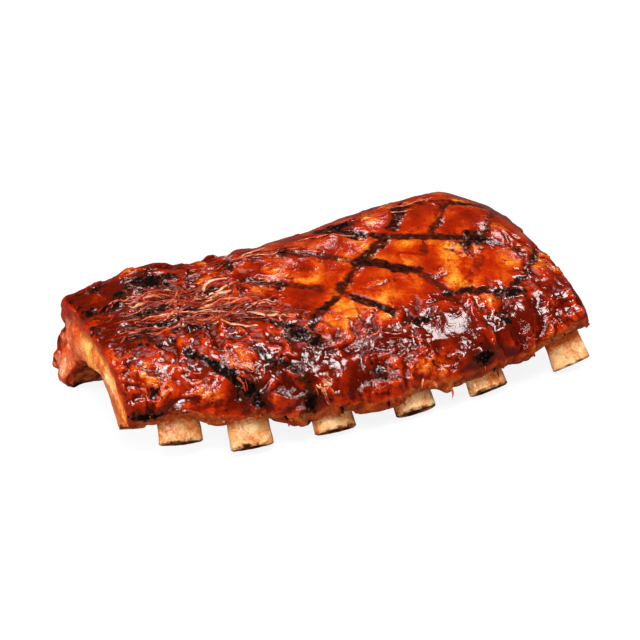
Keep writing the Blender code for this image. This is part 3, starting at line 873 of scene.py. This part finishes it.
def tube_faces(rings, sides):
    """Quads round a closed tube, and triangles from its first and last ring to the two pole vertices."""
    number = np.arange(rings * sides).reshape(rings, sides)
    around = np.hstack([number, number[:, :1]])
    pole = rings * sides
    start = np.stack([around[0, 1:], around[0, :-1]], axis=-1)
    stop = np.stack([around[-1, :-1], around[-1, 1:]], axis=-1)
    start = np.hstack([start, np.full((sides, 2), pole)])
    stop = np.hstack([stop, np.full((sides, 2), pole + 1)])
    return np.concatenate([grid_faces(around)[:, ::-1], start, stop])


def tubes(paths, up, half_width, half_height):
    """Tapered closed tubes along many paths: each ring is path + side * cos * width + up * sin * height."""
    count, rings = paths.shape[:2]
    tangent = np.gradient(paths, axis=1)
    side = np.cross(up, tangent)
    side /= np.maximum(np.linalg.norm(side, axis=-1, keepdims=True), 1e-9)
    turn = np.linspace(0, 2 * np.pi, STRAND_SIDES, endpoint=False)
    taper = np.sqrt(np.sin(np.pi * np.linspace(0.02, 0.98, rings)))
    across = (half_width[:, None] * taper)[..., None, None] * np.cos(turn)[:, None]
    raised = (half_height[:, None] * taper)[..., None, None] * np.sin(turn)[:, None]
    rings_at = paths[:, :, None] + side[:, :, None] * across + up[:, :, None] * raised
    points = np.concatenate([rings_at.reshape(count, -1, 3), paths[:, :1], paths[:, -1:]], axis=1)
    one_tube = tube_faces(rings, STRAND_SIDES)
    starts = np.arange(count) * points.shape[1]
    return points.reshape(-1, 3), (one_tube + starts[:, None, None]).reshape(-1, 4)


DRY_FIBRES = (0.66, 0.25, 0.11), (1.0, 0.62, 0.40)


def strand_material():
    """Dry fibres: tan to pale pink meat, thinly or thickly glazed, some of them charred."""
    material, tree, shader, places = new_material(
        "torn_strands", Coat_Roughness=0.1, Specular_IOR_Level=0.15)
    under = mottled(tree, noise_value(tree, places, 400.0), 0.35, 0.65, *DRY_FIBRES)
    glaze = add_node(tree, "ShaderNodeGroup", {"node_tree": sticky_glaze}, Under=under,
                     Thickness=mask_value(tree, "glaze"), Burnt=mask_value(tree, "burnt"), Specks=0.0)
    grain = add_node(tree, "ShaderNodeBump", None, Height=noise_value(tree, places, 1800.0), Strength=0.3,
                     Distance=0.0003)
    feed(tree, shader, Base_Color=glaze.outputs["Colour"],
         Roughness=calc(tree, "ADD", glaze.outputs["Roughness"], 0.1),
         Coat_Weight=calc(tree, "MULTIPLY", glaze.outputs["Coat"], 0.8), Normal=grain.outputs[0])
    return material


torn_strand = strand_material()
# Where strands lie: X, across, half lengths both ways, how many, mean angle, glaze and share
# charred.
STRAND_BEDS = (
    (-62, 87, 22, 8, 40, -8, 0.5, 0.2), (-70, 99, 18, 6, 30, 5, 0.6, 0.25),
    (-45, 103, 12, 4, 28, 14, 0.5, 0.15), (-56, 73, 5, 7, 20, 50, 0.6, 0.2),
    (-60, 93, 20, 8, 26, -26, 0.4, 0.1), (-58, 95, 20, 8, 20, 24, 0.6, 0.1),
    (-28, 65, 12, 3, 14, 4, 0.8, 0.2), (34, 56, 13, 1.5, 12, -4, 0.8, 0.1),
    (8, 128, 9, 3, 9, 4, 1, 0.2), (-51, 131, 4, 4, 10, 60, 0.6, 0.1),
    (12, 139, 7, 4, 8, 75, 1.2, 0.1), (-85, 136, 3, 5, 8, 100, 1, 0.5),
    (64, 143, 3, 4, 6, 62, 0.8, 0.2), (0, 62, 14, 2, 8, 4, 1, 0.2),
    (-23, 141, 1.6, 4, 16, 72, 0.2, 0), (-80, 84, 8, 5, 14, -14, 0.6, 0.1),
    (-86, 102, 7, 8, 18, -8, 1, 0.25),
)
rng = np.random.default_rng(7)
bed = np.repeat(np.array(STRAND_BEDS), [row[4] for row in STRAND_BEDS], axis=0)
count = len(bed)
length = rng.uniform(*STRAND_LENGTHS, count) * np.clip(bed[:, 2] / 12.0, 0.45, 1.0)
heading = np.radians(bed[:, 5] + rng.normal(0, HEADING_SPREAD, count))
bend = np.radians(rng.normal(0, BEND_SPREAD, count))
along = np.linspace(-0.5, 0.5, STRAND_POINTS)
wave = np.radians(STRAND_WAVE) * np.sin(9 * along + rng.uniform(0, 6, count)[:, None])
angle = heading[:, None] + bend[:, None] * along + wave
step = length[:, None] / STRAND_POINTS
start_x = bed[:, 0] + bed[:, 2] * rng.normal(0, BED_SCATTER, count)
start_arc = bed[:, 1] + bed[:, 3] * rng.normal(0, BED_SCATTER, count)
path_x = start_x[:, None] + np.cumsum(np.cos(angle), axis=1) * step
path_arc = start_arc[:, None] + np.cumsum(np.sin(angle), axis=1) * step
rise = rng.uniform(0.0, STRAND_RISE, count)[:, None] * np.cos(np.pi * along) ** 0.5 - STRAND_SUNK
paths, up = skin_places(path_x, path_arc, rise)
half_widths = 0.2 + 0.7 * rng.random(count) ** 2
points, tube_quads = tubes(paths, up, half_widths, rng.uniform(*STRAND_HALF_HEIGHTS, count))
each = STRAND_POINTS * STRAND_SIDES + 2
coat = np.maximum(0.1, bed[:, 6] + 0.4 + rng.normal(0, 0.6, count))
charred = (rng.random(count) < bed[:, 7]) * rng.uniform(0.6, 1.0, count)
strand_piece = new_piece("torn_strands", points, tube_quads,
                         {"glaze": np.repeat(coat, each), "burnt": np.repeat(charred, each)}, torn_strand)
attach(strand_piece, "root")

# The fringe: short shreds that hang from the lip.
fringe_x = rng.uniform(-92, 92, FRINGE_COUNT)
fringe_arc = rng.uniform(148.0, 155.0, FRINGE_COUNT)
root, outward = skin_places(fringe_x, fringe_arc, np.full(FRINGE_COUNT, -0.5))
share = np.linspace(0, 1, STRAND_POINTS)[None, :, None]
hang = outward * [0.3, 0.3, 0.0] + rng.normal(0, 0.35, (FRINGE_COUNT, 3)) + [0.0, 0.0, -1.0]
reach = rng.uniform(*FRINGE_LENGTHS, FRINGE_COUNT)[:, None, None]
curl = rng.normal(0, 0.5, (FRINGE_COUNT, 3))[:, None] * share**2
paths = root[:, None] + (hang[:, None] + curl) * share * reach
paths[..., 2] = np.maximum(paths[..., 2], 0.4)
up = np.repeat(outward[:, None], STRAND_POINTS, axis=1)
half_widths = rng.uniform(0.4, 1.1, FRINGE_COUNT)
points, tube_quads = tubes(paths, up, half_widths, rng.uniform(0.2, 0.5, FRINGE_COUNT))
coat = rng.uniform(0.4, 1.6, FRINGE_COUNT)
charred = (rng.random(FRINGE_COUNT) < 0.3) * 0.8
fringe = new_piece("lip_fringe", points, tube_quads,
                   {"glaze": np.repeat(coat, each), "burnt": np.repeat(charred, each)}, torn_strand)
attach(fringe, "root")

# ----------------------------------------------------------------------------
# Charred crumbs: burnt sugar and pepper stuck in the sauce, thickest on the burnt spots. Each is a
# knobbly ball pressed into the skin.
# ----------------------------------------------------------------------------
CRUMB_RINGS = 6
CRUMB_SIDES = 8
CRUMB_SIZES = (0.3, 0.8)
CRUMBS_PER_SPOT = 10
CRUMB_SCATTER = 0.7              # how far they lie from a spot's middle, in its half lengths
CRUMB_FLATNESS = 0.5
STRAY_CRUMBS = 130


def balls(centres, up, size, flatness, seed):
    """Knobbly closed balls: centre + direction * size, where sizes wander, squeezed along up."""
    ring = np.pi * (np.arange(CRUMB_RINGS) + 0.5) / CRUMB_RINGS
    turn = np.linspace(0, 2 * np.pi, CRUMB_SIDES, endpoint=False)
    ball = np.stack([np.sin(ring)[:, None] * np.cos(turn), np.sin(ring)[:, None] * np.sin(turn),
                     -np.cos(ring)[:, None] * np.ones(CRUMB_SIDES)], axis=-1).reshape(-1, 3)
    ball = np.concatenate([ball, [(0, 0, -1), (0, 0, 1)]])
    shape_rng = np.random.default_rng(seed)
    wander = shape_rng.uniform(0.7, 1.3, (len(centres), len(ball), 1))
    spun = ball * shape_rng.uniform(0.7, 1.3, (len(centres), 1, 3)) * wander * size[:, None, None]
    along = np.einsum("ijk,ik->ij", spun, up)[..., None] * up[:, None]
    points = centres[:, None] + spun - along * (1 - flatness)
    one_ball = tube_faces(CRUMB_RINGS, CRUMB_SIDES)
    starts = np.arange(len(centres)) * len(ball)
    return points.reshape(-1, 3), (one_ball + starts[:, None, None]).reshape(-1, 4), len(ball)


spots = np.repeat(np.array(BURNT_SPOTS), CRUMBS_PER_SPOT, axis=0)
crumb_x = spots[:, 0] + spots[:, 2] * rng.normal(0, CRUMB_SCATTER, len(spots))
crumb_arc = spots[:, 1] + spots[:, 3] * rng.normal(0, CRUMB_SCATTER, len(spots))
crumb_x = np.append(crumb_x, rng.uniform(-92, 92, STRAY_CRUMBS))
crumb_arc = np.append(crumb_arc, rng.uniform(52, 150, STRAY_CRUMBS))
stray = np.arange(len(crumb_x)) >= len(spots)
size = rng.uniform(*CRUMB_SIZES, len(crumb_x)) * np.where(stray, 0.5, 1.0)
centres, up = skin_places(crumb_x, crumb_arc, size * 0.15)
points, ball_quads, each = balls(centres, up, size, CRUMB_FLATNESS, 17)
crumb_coat = rng.uniform(0.8, 2.0, len(size))
crumb_char = np.where(stray, rng.uniform(0.2, 0.8, len(size)), rng.uniform(0.5, 1.3, len(size)))
crumb_masks = {"glaze": np.repeat(crumb_coat, each), "burnt": np.repeat(crumb_char, each)}
crumb_piece = new_piece("charred_crumbs", points, ball_quads, crumb_masks, torn_strand)
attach(crumb_piece, "root")

# ----------------------------------------------------------------------------
# The rib bones: seven flat oval bones that run curved through the slab. In front six stick out,
# roasted dry and sawn off with their spongy marrow showing, and the left cut lays the first one
# bare along its side.
# ----------------------------------------------------------------------------
BONE_WIDTH = 17.0
BONE_THICKNESS = 7.6
BONE_WAIST = 0.12
TIP_REST = 2.7
CUT_RIB_LENGTH = 0.95
CUT_RIB_PROUD = 0.6
SAW_SLANT = 0.12
# How much further out each rib was sawn, and how far along the rack its tip lies off its even place.
TIP_OUT = (-2.0, 1.2, 4.0, 2.2, 1.6, 0.8, 2.0)
TIP_SHIFT = (0.0, -0.3, -2.2, 0.0, 0.0, -3.2, -1.5)
RIM_ROUND = 0.75 / 9             # the share of a sawn end that its rounded rim takes
RIM_REACH = 0.45                 # how far a sawn end stands past the path's end
MARROW_DEPTH = 0.55
BONE = (
    ((50, 54, 54), (3.5, 3.5, 4)),
    ((44, 47, 48), (12, 12, 14)),
    ((37, 39, 41), (20, 21, 25)),
    ((26, 27, 28), (26, 28.5, 33)),
    ((8, 8, 8), (30, 32, 33.5)),
    ((-5, -12, -11), (29.5, 29.5, 27.5)),
    ((-13.5, -25, -21), (24, 21.5, 20.5)),
    ((-20, -33, -30), (17.5, 12, 11.5)),
    ((-25.5, -41.5, -35), (11.5, -1, 3)),
)
BONE_SIDES = 72
BONE_RINGS = 190
END_RINGS = 16


def bone_path(rib, s):
    """A rib's centre line: the spline down the bone rows, each place at the section of the rib's own X."""
    x_here = rib_x(rib, s)
    centre = (MEAT_LEFT + MEAT_RIGHT) / 2
    rows_here = rows_at(BONE, (x_here - centre) / (MEAT_RIGHT - centre))
    rows_here[-1, :, 2] = np.maximum(rows_here[-1, :, 2], TIP_REST)
    each = np.arange(len(s))
    path = spline(rows_here, s)[each, each]
    path[:, 0] = x_here
    return path


def bone_surface(rib):
    """An oval swept along the rib's path. Past each end its rings shrink over a rim into the marrow."""
    last = CUT_RIB_LENGTH if rib == 0 else 1.0
    body = np.linspace(0, 1, BONE_RINGS)
    body = body - 0.06 * np.sin(2 * np.pi * body) / (2 * np.pi)
    share = np.concatenate([np.zeros(END_RINGS), body, np.ones(END_RINGS)])
    inward = np.linspace(0.0, 1.0, END_RINGS + 1)[1:]
    shrink = np.concatenate([inward[::-1], np.zeros(BONE_RINGS), inward])
    end = np.concatenate([-np.ones(END_RINGS), np.zeros(BONE_RINGS), np.ones(END_RINGS)])
    s = share * last
    path = bone_path(rib, s)
    tangent = bone_path(rib, np.minimum(s + 0.01, 1.0)) - bone_path(rib, np.maximum(s - 0.01, 0.0))
    tangent /= np.linalg.norm(tangent, axis=1, keepdims=True)
    sideways = np.array([1.0, 0.0, 0.0]) - tangent * tangent[:, :1]
    sideways /= np.linalg.norm(sideways, axis=1, keepdims=True)
    up = np.cross(tangent, sideways)
    turn = np.linspace(0, 2 * np.pi, BONE_SIDES, endpoint=False)
    half_width = BONE_WIDTH / 2 * (1 - BONE_WAIST * np.sin(np.pi * share))[:, None]
    across = np.cos(turn) * half_width
    raised = np.sin(turn) * BONE_THICKNESS / 2
    size = np.where(shrink > 0, (1 - RIM_ROUND) * (1 - (shrink - 1 / END_RINGS)), 1.0)[:, None]
    reach = end * (np.where(shrink > 0, RIM_REACH, 0.0) - MARROW_DEPTH * ramp(shrink, 0.16, 0.42))
    slant = SAW_SLANT * (raised * size + BONE_THICKNESS / 2) * ramp(share, 0.86, 1.0)[:, None]
    slanted = reach[:, None] - (slant if rib else 0.0)
    points = (path[:, None] + sideways[:, None] * (across * size)[..., None]
              + up[:, None] * (raised * size)[..., None] + tangent[:, None] * slanted[..., None])
    points[..., 1] -= TIP_OUT[rib] * ramp(share, 0.8, 1.0)[:, None]
    points[..., 0] += TIP_SHIFT[rib] * ramp(share, 0.6, 1.0)[:, None]
    marrow = np.repeat(ramp(shrink, 0.14, 0.3)[:, None], BONE_SIDES, axis=1)
    tip = np.repeat(ramp(share, 0.80, 0.99)[:, None], BONE_SIDES, axis=1)
    return points, marrow, tip, share


CREAM = (0.96, 0.68, 0.36)
TAN = (0.86, 0.42, 0.14)
TAN_GRAIN = (0.80, 0.42, 0.13)
MARROW = (0.30, 0.10, 0.03)


def bone_material():
    """Roasted bone: cream, tan where fat has soaked in, brown at the rim, dark and spongy in the marrow."""
    material, tree, shader, places = new_material(
        "roasted_bone", Coat_Roughness=0.15, Specular_IOR_Level=0.15, Subsurface_Weight=0.15,
        Subsurface_Radius=(1.0, 0.6, 0.3), Subsurface_Scale=0.002)
    marrow = mask_value(tree, "marrow")
    grain = noise_value(tree, places, 1100.0, 3.0, 0.3)
    under = mottled(tree, noise_value(tree, places, 170.0, 4.0, 0.6), 0.38, 0.62, CREAM, TAN)
    under = mottled(tree, grain, 0.55, 0.7, under, TAN_GRAIN)
    under = blend_colours(tree, marrow, under, MARROW)
    glaze = add_node(tree, "ShaderNodeGroup", {"node_tree": sticky_glaze}, Under=under,
                     Thickness=mask_value(tree, "glaze"), Burnt=mask_value(tree, "scorch"), Specks=0.25)
    pores = add_node(tree, "ShaderNodeTexVoronoi", {"feature": "F1"}, Vector=places, Scale=1400.0)
    sponge = calc(tree, "MULTIPLY_ADD", marrow, 1.5, 0.2)
    height = calc(tree, "MULTIPLY_ADD", pores.outputs["Distance"], sponge, grain)
    bump = add_node(tree, "ShaderNodeBump", None, Height=height, Strength=0.3, Distance=0.0005)
    feed(tree, shader, Base_Color=glaze.outputs["Colour"],
         Roughness=calc(tree, "MULTIPLY_ADD", marrow, 0.3, glaze.outputs["Roughness"]),
         Coat_Weight=calc(tree, "MULTIPLY_ADD", marrow, -0.5, 0.6), Normal=bump.outputs[0])
    return material


roasted_bone = bone_material()
for rib in range(RIB_COUNT):
    points, marrow, tip, share = bone_surface(rib)
    flat = points.reshape(-1, 3)
    if rib == 0:
        cut_x = MEAT_LEFT + LEFT_CUT_SLANT * np.repeat(share, BONE_SIDES) - CUT_RIB_PROUD
        flat[:, 0] = np.maximum(flat[:, 0], cut_x)
    flat = np.concatenate([flat, [points[0].mean(axis=0)], [points[-1].mean(axis=0)]]) + RACK_OFFSET
    bone_faces = tube_faces(*points.shape[:2])
    marrow = np.append(marrow.ravel(), [1.0, 1.0])
    tip = np.append(tip.ravel(), [0.0, 1.0])
    normals = vertex_normals(flat, bone_faces)
    knobs = 0.22 * gradient_noise(flat, 6.0, 71 + rib) + 0.1 * gradient_noise(flat, 2.2, 81 + rib)
    sponge = (cell_noise(flat, 1.3, 91) - 0.6) * 0.8 * marrow
    flat += normals * (knobs + sponge)[:, None]
    flat[:, 2] = np.maximum(flat[:, 2], 0.0)
    rim = np.append(np.repeat(ramp(share, 0.985, 0.999), BONE_SIDES), [0.0, 0.0])
    scorch = 0.38 * rim * (1 - marrow) * (1 + 0.6 * gradient_noise(flat, 3.0, 98)) + 0.5 * marrow
    scorch += 0.35 * ramp(gradient_noise(flat, 5.0, 95), 0.35, 0.8) * ramp(tip, 0.2, 0.9)
    # The flanks of each bone take thicker sauce, partly sauce run down the sides and partly painted shade
    # darkening the edges.
    flank = np.abs(np.cos(np.linspace(0, 2 * np.pi, BONE_SIDES, endpoint=False))) ** 6
    flank_shade = np.append(np.tile(flank, len(share)), [0.0, 0.0])
    coat = 0.05 + 0.7 * (1 - ramp(tip, 0.35, 0.75)) + 0.25 * flank_shade + 0.22 * gradient_noise(flat, 5.0, 96)
    if rib == 0:
        coat = 0.45 + 0.3 * gradient_noise(flat, 8.0, 97)
        scorch *= 0.2
    bone = new_piece(f"rib_{rib + 1}", flat, bone_faces,
                     {"marrow": marrow, "scorch": scorch, "glaze": np.maximum(coat, 0.05)}, roasted_bone)
    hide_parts(f"rib_bone_{rib + 1}")
    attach(bone, "root")

# ----------------------------------------------------------------------------
# The floor: a plain pale sheet that the rack lies on. It glows a little, so that it looks white
# without lighting the rack much from below, and the glaze mirrors it darker than it is.
# ----------------------------------------------------------------------------
FLOOR_HALF = 4.0
FLOOR_GREY = (0.16, 0.16, 0.16)
FLOOR_IN_GLOSS = (0.02, 0.01, 0.01)      # dark and warm where the glaze mirrors it
FLOOR_GLOW = 0.87
GLOSS_GLOW = 0.06
floor_mesh = bpy.data.meshes.new("floor")
corners = np.array([(-1, -1, 0), (1, -1, 0), (1, 1, 0), (-1, 1, 0)]) * FLOOR_HALF
floor_mesh.from_pydata(corners, [], [(0, 1, 2, 3)])
floor = bpy.data.objects.new("floor", floor_mesh)
bpy.context.scene.collection.objects.link(floor)
floor_material, tree, shader, _ = new_material(
    "pale_floor", Roughness=0.9, Specular_IOR_Level=0.1, Emission_Color=(1.0, 1.0, 1.0, 1.0))
rays = add_node(tree, "ShaderNodeLightPath").outputs
in_gloss = calc(tree, "MULTIPLY", rays["Is Glossy Ray"], GLOSS_GLOW)
feed(tree, shader, Base_Color=blend_colours(tree, rays["Is Glossy Ray"], FLOOR_GREY, FLOOR_IN_GLOSS),
     Emission_Strength=calc(tree, "MULTIPLY_ADD", rays["Is Camera Ray"], FLOOR_GLOW, in_gloss))
floor_mesh.materials.append(floor_material)

# ----------------------------------------------------------------------------
# Studio light: small softboxes high over the front, the right and the back give the sauce its
# highlights, and one shines along the left cut. Wide soft fills, which leave no highlights, light
# the front, both ends and the lip.
# ----------------------------------------------------------------------------
AIM = Vector((0.0, 0.0, 0.02))
SKY_LIGHT = 0.015
SKY_SEEN = 0.97


def turned_to(azimuth, elevation):
    """The unit vector from the rack towards that azimuth (0 is -Y, 90 is +X) and elevation, in degrees."""
    a, b = np.radians(azimuth), np.radians(elevation)
    return Vector((np.sin(a) * np.cos(b), -np.cos(a) * np.cos(b), np.sin(b)))


def add_softbox(name, azimuth, elevation, distance, width, height, watts, shines=True):
    """A rectangular area light that faces the rack. One that does not shine leaves no highlights."""
    light = bpy.data.lights.new(name, "AREA")
    light.shape = "RECTANGLE"
    light.size = width
    light.size_y = height
    light.energy = watts
    softbox = bpy.data.objects.new(name, light)
    towards = turned_to(azimuth, elevation)
    softbox.visible_glossy = shines
    softbox.location = AIM + towards * distance
    softbox.rotation_euler = towards.to_track_quat("Z", "Y").to_euler()
    bpy.context.scene.collection.objects.link(softbox)


# Name, azimuth, elevation, distance, width, height and watts, and False for a fill.
SOFTBOXES = (
    ("key_shine", -20, 66, 1.3, 0.42, 0.34, 4.8),
    ("key_fill", -20, 60, 1.3, 0.8, 0.55, 4.4, False),
    ("side_high", 62, 58, 1.3, 0.46, 0.34, 4.6),
    ("front_high", -35, 44, 1.3, 0.3, 0.2, 2.3),
    ("glint", -38, 58, 1.3, 0.14, 0.14, 1.2),
    ("overhead", 160, 78, 1.3, 0.6, 0.3, 0.8),
    ("back", 165, 33, 1.6, 0.3, 0.15, 0.8),
    ("left_shine", -104, 24, 1.4, 0.5, 0.3, 2.5),
    ("left_fill", -115, 20, 1.4, 1.1, 0.6, 17, False),
    ("right_shine", 126, 30, 1.5, 0.2, 0.28, 0.9),
    ("right_fill", 88, 20, 1.5, 0.8, 0.5, 8.0, False),
    ("low_front", -30, 8, 1.4, 1.2, 0.3, 9.0, False),
)
for row in SOFTBOXES:
    add_softbox(*row)
world = bpy.data.worlds.new("studio")
world.use_nodes = True
tree = world.node_tree
sky = tree.nodes["Background"]
sky.inputs["Color"].default_value = (1.0, 1.0, 1.0, 1.0)
rays = add_node(tree, "ShaderNodeLightPath").outputs
feed(tree, sky, Strength=calc(tree, "MULTIPLY_ADD", rays["Is Camera Ray"], SKY_SEEN, SKY_LIGHT))
bpy.context.scene.world = world
bpy.context.scene.view_settings.view_transform = "Standard"

# ----------------------------------------------------------------------------
# The camera: a long lens that looks down on the rack from a little to the left of its front, with
# everything in focus.
# ----------------------------------------------------------------------------
CAMERA_AZIMUTH = -24.5
CAMERA_ELEVATION = 30.0
CAMERA_DISTANCE = 0.80
LENS = 113.0
CAMERA_TARGET = Vector((-0.00052, 0.0035, 0.020))
camera_data = bpy.data.cameras.new("camera")
camera_data.lens = LENS
camera_data.sensor_width = 36.0
camera_data.clip_end = 20.0
camera = bpy.data.objects.new("camera", camera_data)
towards = turned_to(CAMERA_AZIMUTH, CAMERA_ELEVATION)
camera.location = CAMERA_TARGET + towards * CAMERA_DISTANCE
camera.rotation_euler = towards.to_track_quat("Z", "Y").to_euler()
bpy.context.scene.collection.objects.link(camera)
bpy.context.scene.camera = camera
